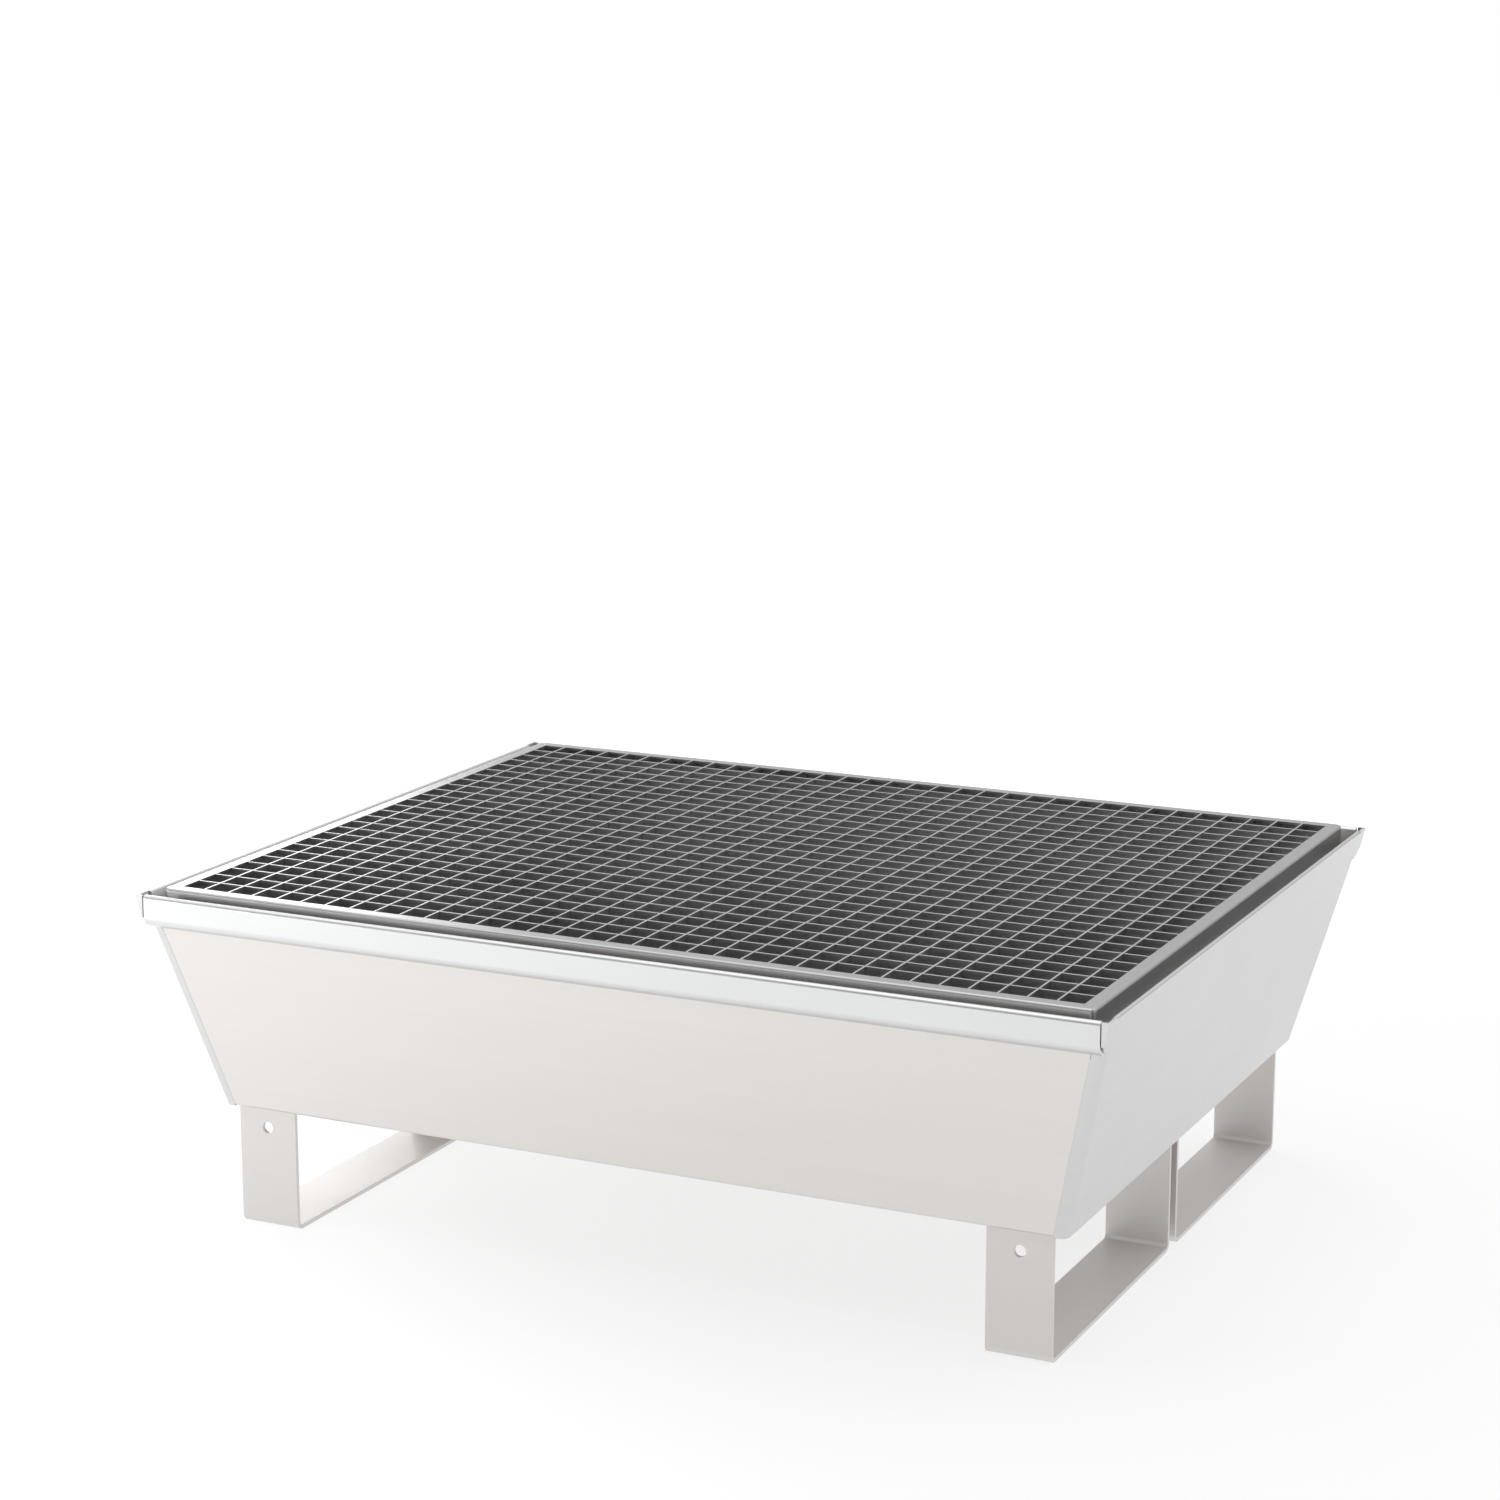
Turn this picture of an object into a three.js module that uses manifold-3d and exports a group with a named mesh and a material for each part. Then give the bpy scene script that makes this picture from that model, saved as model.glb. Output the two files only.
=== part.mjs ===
// Spill containment pallet: a tapered sheet-steel sump on four bent-strap feet, with a lift-out bar grating.
// Millimetres, +Z up, +X along the length, the front at -Y. The origin is on the floor, under the middle.
import * as THREE from "three";
import { mergeVertices } from "three/addons/utils/BufferGeometryUtils.js";
import Module from "manifold-3d";

// ---------------------------------------------------------------- driving dimensions

// Sump: one folded sheet (floor, long walls and rim lips) closed by two end walls
const RIM_LENGTH = 1210;        // over the end walls, at the rim
const RIM_WIDTH = 956;          // over the two rim lips
const SUMP_HEIGHT = 268;        // underside to rim
const END_LEAN = 68;            // how much shorter the underside is than the rim, at each end
const WALL_LEAN = 70;           // how much narrower the underside is than the rim, at each side
const SHEET = 3;                // thickness of the sheet
const BASE_BEND = 4;            // radius of the floor's bends, at the middle of the sheet
const FOLD_BEND = 3;            // radius of the fold at the rim, at the middle of the sheet
const LIP_BEND = 8;             // radius of the bend at the lip's lower edge, at the middle of the sheet
const LIP_HEIGHT = 32;          // rim to the corner where the lip turns back to the wall
const LIP_RETURN_ANGLE = 60;    // how far it turns, in degrees
const LIP_END_INSET = 11;       // from the end of the rim to the cut end of the lip
const LIP_END_SLOT = 1.5;       // open slot between the lip's end and the end wall's ear
const CORNER_BEND = 10;         // radius of the end wall's upright corners, at the middle of the sheet
const CORNER_RETURN = 14;       // how far the end wall wraps onto the long walls
const EAR_BEND = 4;             // radius of the ears' corners, at the middle of the sheet
const EAR_HEIGHT = 20;          // height of the ears that close the ends of the lips
const HEM_HEIGHT = 20;          // depth of the folded hem inside the top of an end wall

// Feet: U-shaped straps with their legs in line along Y
const FOOT_HEIGHT = 148;        // floor to the underside of the sump
const FOOT_STRAP_WIDTH = 78;
const FOOT_STRAP = 5;           // thickness of the strap
const FOOT_BEND = 8;            // radius of the bends, at the middle of the strap
const FOOT_INSET_X = 17;        // from the end of the underside to the strap's outer edge
const FOOT_INSET_Y = 7;         // from the edge of the underside to the outer leg
const FOOT_PAIR_GAP = 21;       // between the front and the back foot
const FOOT_HOLE = 14;           // diameter of the hole in the outer leg
const FOOT_HOLE_HEIGHT = 124;   // floor to the hole's centre

// Grating: bearing bars along Y, slotted for cross bars along X, in a mitred frame of angle section
const GRATING_HEIGHT = 30;
const GRATING_STAND = 6;        // how far the grating stands above the rim
const GRATING_END_GAP = 25;     // from the end of the rim to the frame
const GRATING_SIDE_GAP = 20.5;  // from the outside of a lip to the frame
const FRAME_FLANGE = 17;        // width of the frame's top
const FRAME_PLATE = 3;          // thickness of the frame's angle
const MESH_X = 33.3;            // pitch of the bearing bars
const MESH_Y = 33.9;            // pitch of the cross bars
const BEARING_BAR = 2.5;        // thickness of a bearing bar
const CROSS_BAR = 2.5;          // thickness of a cross bar
const CROSS_BAR_DEPTH = 10;
const CROSS_BAR_STEP = 5;       // every fifth cross bar has a solid of its own

// Support rails: angles on the inside of the walls, which carry the grating
const RAIL_SHELF = 35;          // width of the shelf
const RAIL_DROP = 40;           // height of the leg on the wall
const RAIL_PLATE = 4;           // thickness of the angle
const RAIL_BEND = 4;            // radius of its bend, at the middle of the plate

// Clearances
const WELD_GAP = 0.3;           // between pieces that are welded or rest on each other
const BAR_GAP = 0.3;            // round a cross bar in its slot, and at the ends of the bars
const LIP_WALL_GAP = 0.8;       // between the lip's lower edge and the wall behind it

const BEND_STEPS = 6;           // flats per bend
const HOLE_SIDES = 32;

// ---------------------------------------------------------------- places worked out from them

const BASE_LENGTH = RIM_LENGTH - 2 * END_LEAN;
const BASE_WIDTH = RIM_WIDTH - 2 * WALL_LEAN;
const RIM_Z = FOOT_HEIGHT + SUMP_HEIGHT;
const HALF_SHEET = SHEET / 2;
const FLOOR_MID_Z = FOOT_HEIGHT + HALF_SHEET;

// The middle of a long wall's sheet runs from the floor's bend up to the fold, just inside the lip.
const WALL_BASE_Y = BASE_WIDTH / 2 - HALF_SHEET;
const LIP_MID_Y = RIM_WIDTH / 2 - HALF_SHEET;
const FOLD_MID_Z = RIM_Z - HALF_SHEET;
const WALL_TOP_Y = LIP_MID_Y - 2 * FOLD_BEND;
const WALL_SLOPE = (WALL_TOP_Y - WALL_BASE_Y) / (FOLD_MID_Z - FLOOR_MID_Z);
const wallMidY = (z) => WALL_BASE_Y + WALL_SLOPE * (z - FLOOR_MID_Z);
const WALL_HALF_Y = HALF_SHEET / Math.cos(Math.atan(WALL_SLOPE));   // half the sheet, measured level

// The middle of an end wall's sheet
const END_BASE_X = BASE_LENGTH / 2 - HALF_SHEET;
const END_SLOPE = END_LEAN / SUMP_HEIGHT;
const endMidX = (z) => END_BASE_X + END_SLOPE * (z - FOOT_HEIGHT);

const LIP_END_X = RIM_LENGTH / 2 - LIP_END_INSET;
const EAR_EDGE_X = LIP_END_X + LIP_END_SLOT;
const FOLD_BOTTOM_Z = RIM_Z - SHEET - 2 * FOLD_BEND;

const GRATING_LENGTH = RIM_LENGTH - 2 * GRATING_END_GAP;
const GRATING_WIDTH = RIM_WIDTH - 2 * GRATING_SIDE_GAP;
const GRATING_UNDERSIDE = RIM_Z + GRATING_STAND - GRATING_HEIGHT;
const RAIL_TOP = GRATING_UNDERSIDE - WELD_GAP;

// Bars stand on both sides of a middle one, out to where at least half a mesh is left inside the frame's top.
const barsEachSide = (clearLength, pitch) => Math.floor((clearLength - pitch) / 2 / pitch);
const BEARING_BARS_EACH_SIDE = barsEachSide(GRATING_LENGTH - 2 * FRAME_FLANGE, MESH_X);
const CROSS_BARS_EACH_SIDE = barsEachSide(GRATING_WIDTH - 2 * FRAME_FLANGE, MESH_Y);

// ---------------------------------------------------------------- geometry helpers

const wasm = await Module();
wasm.setup();

const X_AXIS = new THREE.Vector3(1, 0, 0);
const Y_AXIS = new THREE.Vector3(0, 1, 0);
const Z_AXIS = new THREE.Vector3(0, 0, 1);
const MERGE_DISTANCE = 1e-4;
const SLIVER = 0.002;           // triangles thinner than this are taken out of a cut solid

/** A closed geometry as a solid that can be cut and joined. */
function toSolid(geometry) {
  const bare = geometry.clone();
  bare.deleteAttribute("normal");
  bare.deleteAttribute("uv");
  const merged = mergeVertices(bare, MERGE_DISTANCE);
  return new wasm.Manifold(new wasm.Mesh({
    numProp: 3,
    vertProperties: new Float32Array(merged.attributes.position.array),
    triVerts: new Uint32Array(merged.index.array),
  }));
}

/** A solid as a geometry again. */
function toGeometry(solid) {
  const mesh = solid.simplify(SLIVER).getMesh();
  const geometry = new THREE.BufferGeometry();
  geometry.setAttribute("position", new THREE.BufferAttribute(new Float32Array(mesh.vertProperties), 3));
  geometry.setIndex(new THREE.BufferAttribute(new Uint32Array(mesh.triVerts), 1));
  return geometry;
}

/** The middle line of a folded sheet, as points with left-hand normals: straight runs and round bends. */
function foldLine(corners, bendRadii) {
  const points = corners.map(([a, b]) => new THREE.Vector2(a, b));
  const along = points.slice(1).map((point, i) => point.clone().sub(points[i]).normalize());
  const leftOf = (direction) => new THREE.Vector2(-direction.y, direction.x);
  const line = [{ point: points[0], normal: leftOf(along[0]) }];
  for (let i = 1; i < points.length - 1; i += 1) {
    const before = along[i - 1];
    const turn = Math.atan2(before.cross(along[i]), before.dot(along[i]));
    const radius = bendRadii[i - 1] * Math.sign(turn);
    const start = points[i].clone().addScaledVector(before, -radius * Math.tan(turn / 2));
    const centre = start.addScaledVector(leftOf(before), radius);
    for (let step = 0; step <= BEND_STEPS; step += 1) {
      const normal = leftOf(before).rotateAround(new THREE.Vector2(), turn * step / BEND_STEPS);
      line.push({ point: centre.clone().addScaledVector(normal, -radius), normal });
    }
  }
  line.push({ point: points.at(-1), normal: leftOf(along.at(-1)) });
  return line;
}

/** The line moved sideways, to the left where the distance is positive. */
const movedLine = (line, distance) => line.map(
  ({ point, normal }) => point.clone().addScaledVector(normal, distance),
);

/** The outline of a sheet folded along the line. */
function sheetShape(line, thickness) {
  const left = movedLine(line, thickness / 2);
  const right = movedLine(line, -thickness / 2);
  return new THREE.Shape([...right, ...left.reverse()]);
}

/** An outline in the (y, z) plane, run along X and centred on x = 0. */
function alongX(shape, length) {
  const geometry = new THREE.ExtrudeGeometry(shape, { depth: length, bevelEnabled: false });
  geometry.translate(0, 0, -length / 2);
  return geometry.applyMatrix4(new THREE.Matrix4().makeBasis(Y_AXIS, Z_AXIS, X_AXIS));
}

/** An outline in the (x, y) plane, raised from one height to another and splayed outwards on the way. */
function splayed(shape, fromZ, toZ, slopeX, slopeY) {
  const geometry = new THREE.ExtrudeGeometry(shape, { depth: toZ - fromZ, bevelEnabled: false });
  const position = geometry.attributes.position;
  for (let i = 0; i < position.count; i += 1) {
    const [x, y, rise] = [position.getX(i), position.getY(i), position.getZ(i)];
    position.setXYZ(i, x + slopeX * rise, y + Math.sign(y) * slopeY * rise, fromZ + rise);
  }
  return geometry;
}

/** A box between two corners. */
function box(low, high) {
  const size = high.map((value, i) => value - low[i]);
  const middle = high.map((value, i) => (value + low[i]) / 2);
  return new THREE.BoxGeometry(...size).translate(...middle);
}

// ---------------------------------------------------------------- sump

/** In plan, the middle of a sheet across the right end, with a return at each side. */
function acrossEnd(endX, sideY, bend) {
  const inner = endX - CORNER_RETURN;
  return foldLine([[inner, -sideY], [endX, -sideY], [endX, sideY], [inner, sideY]], [bend, bend]);
}

/** What the right end wall takes out of the trough: all beyond its inside, as far out as the long walls. */
function troughEndCutter() {
  const fromZ = FOOT_HEIGHT - SHEET;
  const inside = movedLine(acrossEnd(endMidX(fromZ), wallMidY(fromZ), CORNER_BEND), HALF_SHEET + WELD_GAP);
  const wallEndX = inside[0].x - WELD_GAP;
  const outerY = wallMidY(fromZ) + WALL_HALF_Y + LIP_WALL_GAP / 2;
  const shape = new THREE.Shape([
    new THREE.Vector2(wallEndX, -outerY),
    new THREE.Vector2(RIM_LENGTH, -outerY),
    new THREE.Vector2(RIM_LENGTH, outerY),
    new THREE.Vector2(wallEndX, outerY),
    new THREE.Vector2(wallEndX, inside.at(-1).y),
    ...inside.slice(1, -1).reverse(),
    new THREE.Vector2(wallEndX, inside[0].y),
  ]);
  return toSolid(splayed(shape, fromZ, FOLD_BOTTOM_Z, END_SLOPE, WALL_SLOPE));
}

/** How far the lip's return reaches in, measured level, until it stops just clear of the wall. */
function lipReturnReach(cornerZ) {
  const angle = THREE.MathUtils.degToRad(LIP_RETURN_ANGLE);
  const edgeY = HALF_SHEET * (Math.cos(angle) + WALL_SLOPE * Math.sin(angle));
  const room = LIP_MID_Y - wallMidY(cornerZ) - WALL_HALF_Y - LIP_WALL_GAP - edgeY;
  return room / (1 - WALL_SLOPE / Math.tan(angle));
}

/** Floor, long walls and rim lips: one sheet folded along X, its walls cut to the slope of the ends. */
function sumpTrough() {
  const lipCornerZ = RIM_Z - LIP_HEIGHT;
  const reach = lipReturnReach(lipCornerZ);
  const drop = reach / Math.tan(THREE.MathUtils.degToRad(LIP_RETURN_ANGLE));
  const backHalf = [
    [LIP_MID_Y - reach, lipCornerZ - drop],
    [LIP_MID_Y, lipCornerZ],
    [LIP_MID_Y, FOLD_MID_Z],
    [WALL_TOP_Y, FOLD_MID_Z],
    [WALL_BASE_Y, FLOOR_MID_Z],
  ];
  const frontHalf = backHalf.map(([y, z]) => [-y, z]).reverse();
  const bends = [LIP_BEND, FOLD_BEND, FOLD_BEND, BASE_BEND];
  const line = foldLine([...backHalf, ...frontHalf], [...bends, ...bends.toReversed()]);
  const sheet = toSolid(alongX(sheetShape(line, SHEET), 2 * LIP_END_X));
  const cutter = troughEndCutter();
  return toGeometry(sheet.subtract(cutter).subtract(cutter.rotate([0, 0, 180])));
}

/** The right end wall: a sloping sheet wrapped round the corners, with a hem and two ears at its top. */
function endWall() {
  const panel = splayed(
    sheetShape(acrossEnd(endMidX(FOOT_HEIGHT), wallMidY(FOOT_HEIGHT), CORNER_BEND), SHEET),
    FOOT_HEIGHT, RIM_Z, END_SLOPE, WALL_SLOPE,
  );
  const earZ = RIM_Z - EAR_HEIGHT;
  const earLine = acrossEnd(endMidX(earZ), LIP_MID_Y, EAR_BEND);
  const ears = splayed(sheetShape(earLine, SHEET), earZ, RIM_Z, END_SLOPE, 0);

  const hemZ = RIM_Z - HEM_HEIGHT;
  const hemY = WALL_TOP_Y - CORNER_RETURN;
  const hemLine = foldLine([[endMidX(hemZ) - SHEET, -hemY], [endMidX(hemZ) - SHEET, hemY]], []);
  const hem = splayed(sheetShape(hemLine, SHEET), hemZ, RIM_Z, END_SLOPE, 0);

  // Room for the fold at the end of a lip, and for the lip itself
  const foldY = wallMidY(FOLD_BOTTOM_Z) - WALL_HALF_Y - WELD_GAP;
  const lipY = wallMidY(RIM_Z) + WALL_HALF_Y + WELD_GAP;
  const above = RIM_Z + SHEET;
  let wall = toSolid(panel).add(toSolid(ears)).add(toSolid(hem));
  for (const [insideY, fromZ] of [[foldY, FOLD_BOTTOM_Z - WELD_GAP], [lipY, earZ - WELD_GAP]]) {
    const back = box([0, insideY, fromZ], [EAR_EDGE_X, RIM_WIDTH, above]);
    const front = box([0, -RIM_WIDTH, fromZ], [EAR_EDGE_X, -insideY, above]);
    wall = wall.subtract(toSolid(back)).subtract(toSolid(front));
  }
  return toGeometry(wall);
}

/** An angle along X on the inside of a wall at +Y whose sheet's middle is at midAt(z). */
function supportRail(midAt, slope, length) {
  const offset = (HALF_SHEET + WELD_GAP + RAIL_PLATE / 2) / Math.cos(Math.atan(slope));
  const shelfZ = RAIL_TOP - RAIL_PLATE / 2;
  const cornerY = midAt(shelfZ) - offset;
  const legZ = RAIL_TOP - RAIL_DROP;
  const line = foldLine([
    [railInsideY(midAt, slope), shelfZ],
    [cornerY, shelfZ],
    [midAt(legZ) - offset, legZ],
  ], [RAIL_BEND]);
  return alongX(sheetShape(line, RAIL_PLATE), length);
}

/** The free edge of a rail's shelf. */
function railInsideY(midAt, slope) {
  const wallFaceY = midAt(RAIL_TOP) - (HALF_SHEET + WELD_GAP) / Math.cos(Math.atan(slope));
  return wallFaceY - RAIL_SHELF;
}

// ---------------------------------------------------------------- feet

const FOOT_LENGTH = BASE_WIDTH / 2 - FOOT_INSET_Y - FOOT_PAIR_GAP / 2;
const FOOT_X = BASE_LENGTH / 2 - FOOT_INSET_X - FOOT_STRAP_WIDTH / 2;
const FOOT_Y = (FOOT_PAIR_GAP + FOOT_LENGTH) / 2;

/** A U-shaped strap, centred on its own origin, with a hole in the leg at -Y. */
function foot() {
  const legY = (FOOT_LENGTH - FOOT_STRAP) / 2;
  const topZ = FOOT_HEIGHT - WELD_GAP;
  const soleZ = FOOT_STRAP / 2;
  const line = foldLine([[-legY, topZ], [-legY, soleZ], [legY, soleZ], [legY, topZ]], [FOOT_BEND, FOOT_BEND]);
  const strap = toSolid(alongX(sheetShape(line, FOOT_STRAP), FOOT_STRAP_WIDTH));
  const hole = new THREE.CylinderGeometry(FOOT_HOLE / 2, FOOT_HOLE / 2, 3 * FOOT_STRAP, HOLE_SIDES);
  hole.translate(0, -legY, FOOT_HOLE_HEIGHT);
  return toGeometry(strap.subtract(toSolid(hole)));
}

// ---------------------------------------------------------------- grating

/** One side of the frame: an angle along X with its outer face on y = 0 and its ends mitred. */
function frameBar(length) {
  const flangeZ = GRATING_HEIGHT - FRAME_PLATE;
  const section = [
    [0, 0], [FRAME_PLATE, 0], [FRAME_PLATE, flangeZ], [FRAME_FLANGE, flangeZ],
    [FRAME_FLANGE, GRATING_HEIGHT], [0, GRATING_HEIGHT],
  ];
  const geometry = alongX(new THREE.Shape(section.map(([y, z]) => new THREE.Vector2(y, z))), length);
  const position = geometry.attributes.position;
  for (let i = 0; i < position.count; i += 1) {
    const x = position.getX(i);
    position.setX(i, x - Math.sign(x) * (position.getY(i) + WELD_GAP * Math.SQRT1_2));
  }
  return geometry;
}

/** A bar along Y whose top is level with the frame's, let in under the flange, with slots in its top. */
function gratingBar(frameSize, depth, thickness, slotPlaces) {
  const endY = frameSize / 2 - FRAME_PLATE - BAR_GAP;
  const flangeY = frameSize / 2 - FRAME_FLANGE - BAR_GAP;
  const top = GRATING_HEIGHT;
  const underFlange = top - FRAME_PLATE - BAR_GAP;
  const slotHalf = CROSS_BAR / 2 + BAR_GAP;
  const slotZ = top - CROSS_BAR_DEPTH - BAR_GAP;
  const slots = slotPlaces.toReversed().flatMap((y) => [
    [y + slotHalf, top], [y + slotHalf, slotZ], [y - slotHalf, slotZ], [y - slotHalf, top],
  ]);
  const outline = [
    [-endY, top - depth], [endY, top - depth], [endY, underFlange], [flangeY, underFlange],
    [flangeY, top], ...slots, [-flangeY, top],
    [-flangeY, underFlange], [-endY, underFlange],
  ];
  return alongX(new THREE.Shape(outline.map(([y, z]) => new THREE.Vector2(y, z))), thickness);
}

// ---------------------------------------------------------------- assembly

const finishes = {
  sheet: { color: 0xdcdad7, roughness: 0.38, metalness: 0.85 },
  strap: { color: 0xc9c5c1, roughness: 0.42, metalness: 0.85 },
  rail: { color: 0xbfbfbf, roughness: 0.45, metalness: 0.85 },
  frame: { color: 0xa9a9a9, roughness: 0.4, metalness: 0.9 },
  bar: { color: 0x9a9c9d, roughness: 0.45, metalness: 0.9 },
};

/** A named sub-part, placed and turned about Z. */
function piece(name, geometry, finish, place = [0, 0, 0], turn = 0) {
  const mesh = new THREE.Mesh(geometry, new THREE.MeshStandardMaterial(finishes[finish]));
  mesh.name = name;
  mesh.position.set(...place);
  mesh.rotation.z = turn;
  return mesh;
}

const HALF_TURN = Math.PI;
const QUARTER_TURN = Math.PI / 2;

function buildSump() {
  const sump = new THREE.Group();
  const wall = endWall();
  sump.add(piece("sump_trough", sumpTrough(), "sheet"));
  sump.add(piece("end_wall_right", wall, "sheet"));
  sump.add(piece("end_wall_left", wall, "sheet", [0, 0, 0], HALF_TURN));

  const longRailLength = 2 * (endMidX(RAIL_TOP - RAIL_DROP) - HALF_SHEET - CORNER_BEND);
  const longRail = supportRail(wallMidY, WALL_SLOPE, longRailLength);
  const endRail = supportRail(endMidX, END_SLOPE, 2 * (railInsideY(wallMidY, WALL_SLOPE) - WELD_GAP));
  sump.add(piece("support_rail_back", longRail, "rail"));
  sump.add(piece("support_rail_front", longRail, "rail", [0, 0, 0], HALF_TURN));
  sump.add(piece("support_rail_right", endRail, "rail", [0, 0, 0], -QUARTER_TURN));
  sump.add(piece("support_rail_left", endRail, "rail", [0, 0, 0], QUARTER_TURN));
  return sump;
}

function buildFeet() {
  const feet = new THREE.Group();
  const strap = foot();
  for (const [end, x] of [["left", -FOOT_X], ["right", FOOT_X]]) {
    feet.add(piece(`foot_front_${end}`, strap, "strap", [x, -FOOT_Y, 0]));
    feet.add(piece(`foot_back_${end}`, strap, "strap", [x, FOOT_Y, 0], HALF_TURN));
  }
  return feet;
}

function buildGrating() {
  const grating = new THREE.Group();
  grating.position.z = GRATING_UNDERSIDE;
  const longSide = frameBar(GRATING_LENGTH);
  const shortSide = frameBar(GRATING_WIDTH);
  grating.add(piece("grating_frame_front", longSide, "frame", [0, -GRATING_WIDTH / 2, 0]));
  grating.add(piece("grating_frame_back", longSide, "frame", [0, GRATING_WIDTH / 2, 0], HALF_TURN));
  grating.add(piece("grating_frame_left", shortSide, "frame", [-GRATING_LENGTH / 2, 0, 0], -QUARTER_TURN));
  grating.add(piece("grating_frame_right", shortSide, "frame", [GRATING_LENGTH / 2, 0, 0], QUARTER_TURN));

  const crossPlaces = [];
  for (let j = -CROSS_BARS_EACH_SIDE; j <= CROSS_BARS_EACH_SIDE; j += 1) {
    if (j % CROSS_BAR_STEP === 0) crossPlaces.push(j);
  }
  const bearingBar = gratingBar(GRATING_WIDTH, GRATING_HEIGHT, BEARING_BAR, crossPlaces.map((j) => j * MESH_Y));
  const crossBar = gratingBar(GRATING_LENGTH, CROSS_BAR_DEPTH, CROSS_BAR, []);
  for (let i = -BEARING_BARS_EACH_SIDE; i <= BEARING_BARS_EACH_SIDE; i += 1) {
    const number = String(i + BEARING_BARS_EACH_SIDE + 1).padStart(2, "0");
    grating.add(piece(`bearing_bar_${number}`, bearingBar, "bar", [i * MESH_X, 0, 0]));
  }
  crossPlaces.forEach((j, index) => {
    grating.add(piece(`cross_bar_${index + 1}`, crossBar, "bar", [0, j * MESH_Y, 0], QUARTER_TURN));
  });
  return grating;
}

const pallet = new THREE.Group();
pallet.add(buildSump(), buildFeet(), buildGrating());

export default pallet;
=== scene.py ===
"""Spill containment pallet: fine surfaces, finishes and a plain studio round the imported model."""
import math

import bmesh
import bpy
from bpy.props import FloatProperty, FloatVectorProperty, IntProperty, PointerProperty
from mathutils import Matrix, Vector


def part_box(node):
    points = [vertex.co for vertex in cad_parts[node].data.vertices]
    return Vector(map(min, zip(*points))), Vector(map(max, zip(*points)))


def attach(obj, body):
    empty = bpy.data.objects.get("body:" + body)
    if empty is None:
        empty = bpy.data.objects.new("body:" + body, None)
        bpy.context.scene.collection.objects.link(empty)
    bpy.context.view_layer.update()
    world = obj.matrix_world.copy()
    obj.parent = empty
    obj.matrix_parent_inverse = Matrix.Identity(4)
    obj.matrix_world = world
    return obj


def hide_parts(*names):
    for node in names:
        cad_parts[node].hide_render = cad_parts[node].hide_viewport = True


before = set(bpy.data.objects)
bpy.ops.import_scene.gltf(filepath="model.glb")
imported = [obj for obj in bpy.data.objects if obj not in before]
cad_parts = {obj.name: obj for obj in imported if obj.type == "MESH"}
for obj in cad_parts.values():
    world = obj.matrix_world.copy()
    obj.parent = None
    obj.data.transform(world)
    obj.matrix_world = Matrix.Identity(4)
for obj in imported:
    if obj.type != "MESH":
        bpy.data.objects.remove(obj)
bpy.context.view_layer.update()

bl_info = {
    "name": "Spill Containment Pallet",
    "version": (1, 0, 0),
    "blender": (4, 5, 0),
    "location": "View3D > Sidebar > Pallet",
    "description": "Builds the surfaces and finishes of a spill containment pallet round its packed model",
    "category": "Object",
}

SUMP = "sump"
GRATING = "grating"
ENDS = {"left": -1, "right": 1}
SIDES = {"front": -1, "back": 1}

# ---------------------------------------------------------------- places read from the frame

TROUGH_LOW, TROUGH_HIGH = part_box("sump_trough")
FOOT_LOW, FOOT_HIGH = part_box("foot_front_right")
RAIL_LOW, RAIL_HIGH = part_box("support_rail_back")
END_RAIL_LOW, END_RAIL_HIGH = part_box("support_rail_right")
BAR_LOW, BAR_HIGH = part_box("bearing_bar_01")
CROSS_LOW, CROSS_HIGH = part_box("cross_bar_1")
BASE_Z = TROUGH_LOW.z
RIM_Z = TROUGH_HIGH.z
HALF_WIDTH = TROUGH_HIGH.y
LIP_END_X = TROUGH_HIGH.x
HALF_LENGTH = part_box("end_wall_right")[1].x
FRAME_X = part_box("grating_frame_right")[1].x
FRAME_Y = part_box("grating_frame_back")[1].y
FRAME_INNER_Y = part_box("grating_frame_back")[0].y
GRATING_BOTTOM = BAR_LOW.z
GRATING_TOP = BAR_HIGH.z
BEARING_BARS = sorted(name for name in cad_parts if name.startswith("bearing_bar_"))
CROSS_BARS = sorted(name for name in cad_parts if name.startswith("cross_bar_"))


def middle_of(node):
    """The middle of a node's box."""
    low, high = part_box(node)
    return (low + high) / 2


# ---------------------------------------------------------------- sizes and colours a user would change

def length(name, description, default):
    """A size in metres."""
    return FloatProperty(name=name, description=description, default=default, min=0, precision=4,
                         subtype="DISTANCE", unit="LENGTH")


def colour(name, description, default):
    """A linear colour."""
    return FloatVectorProperty(name=name, description=description, default=default, size=3, min=0, max=1,
                               subtype="COLOR")


def angle(name, description, degrees):
    """An angle, given in degrees."""
    return FloatProperty(name=name, description=description, default=math.radians(degrees), subtype="ANGLE",
                         unit="ROTATION")


def strength(name, description, default):
    """A brightness."""
    return FloatProperty(name=name, description=description, default=default, min=0)


def share(name, description, default):
    """A number from 0 to 1."""
    return FloatProperty(name=name, description=description, default=default, min=0, max=1, subtype="FACTOR")


def power(name, description, default):
    """A light's power in watts."""
    return FloatProperty(name=name, description=description, default=default, min=0, subtype="POWER")


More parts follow.
